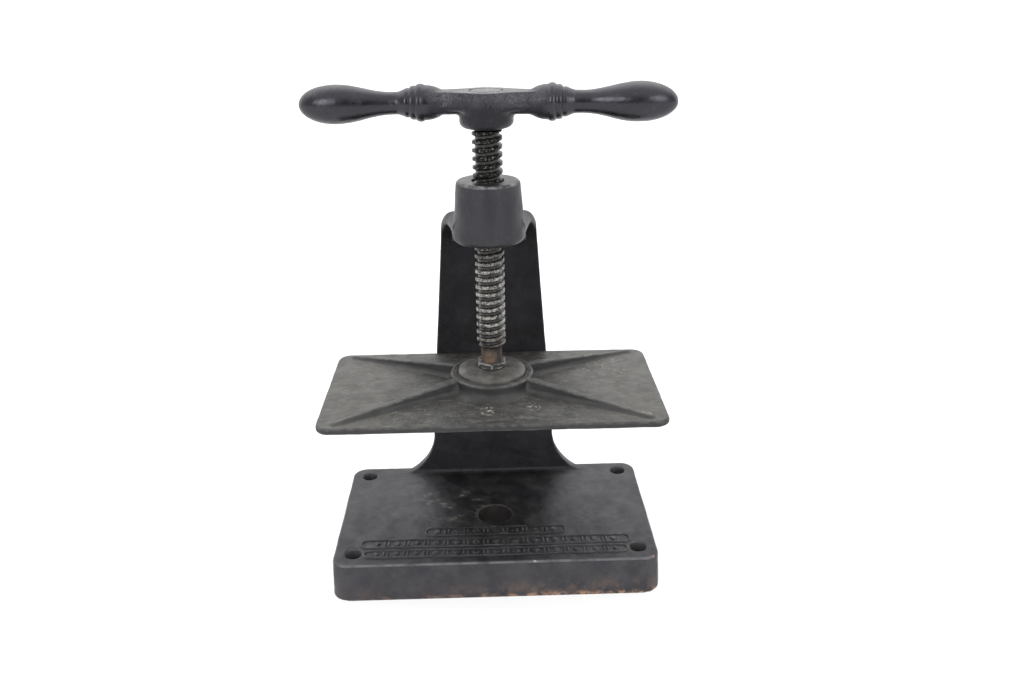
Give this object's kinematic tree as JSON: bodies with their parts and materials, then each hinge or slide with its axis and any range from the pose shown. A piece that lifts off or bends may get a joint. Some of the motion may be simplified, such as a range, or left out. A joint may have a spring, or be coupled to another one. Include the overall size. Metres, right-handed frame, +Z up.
{
  "type": "screw press",
  "caption": "Bench screw press: cast base, bent column and boss, square-thread screw with a two-grip handle, and a ribbed rectangular platen that swivels on the screw.",
  "frame": {"origin": "on the bench, under the screw's axis, at the level of the base's underside", "axes": "+Z up along the screw's axis, front of the press towards -Y, column behind the screw towards +Y, +X to the right seen from the front"},
  "size_m": [0.266, 0.1775, 0.3798],
  "materials": {
    "black_iron": "old black paint over cast iron, semi-matt, worn at the edges",
    "worn_iron": "worn, greyed black paint with dust, matt",
    "handle_iron": "hand-polished black iron, semi-gloss",
    "screw_steel": "dark oily steel, bright on the thread's crests",
    "bright_steel": "plain turned steel",
    "bronze": "plain turned bronze"
  },
  "bodies": {
    "frame": {"frame_casting": "black_iron", "screw_nut": "bronze", "nut_set_screw": "screw_steel"},
    "platen_group": {"platen": "worn_iron", "gland_cap": "worn_iron", "thrust_washer": "bright_steel"},
    "screw_group": {"press_screw": "screw_steel", "thrust_collar": "bright_steel", "collar_pin": "screw_steel", "handle": "handle_iron", "handle_pin": "screw_steel"}
  },
  "joints": [
    {"name": "platen_travel", "type": "slide", "parent": "frame", "child": "platen_group", "axis": [0, 0, 1], "range_m": [-0.0372, 0.0802]},
    {"name": "screw_turn", "type": "hinge", "parent": "platen_group", "child": "screw_group", "pos_m": [0, 0, 0.29], "axis": [0, 0, 1], "range_deg": [-2220, 4800]}
  ],
  "couplings": [
    {"joint": "platen_travel", "follows": "screw_turn", "m_per_rad": 0.00095493}
  ]
}
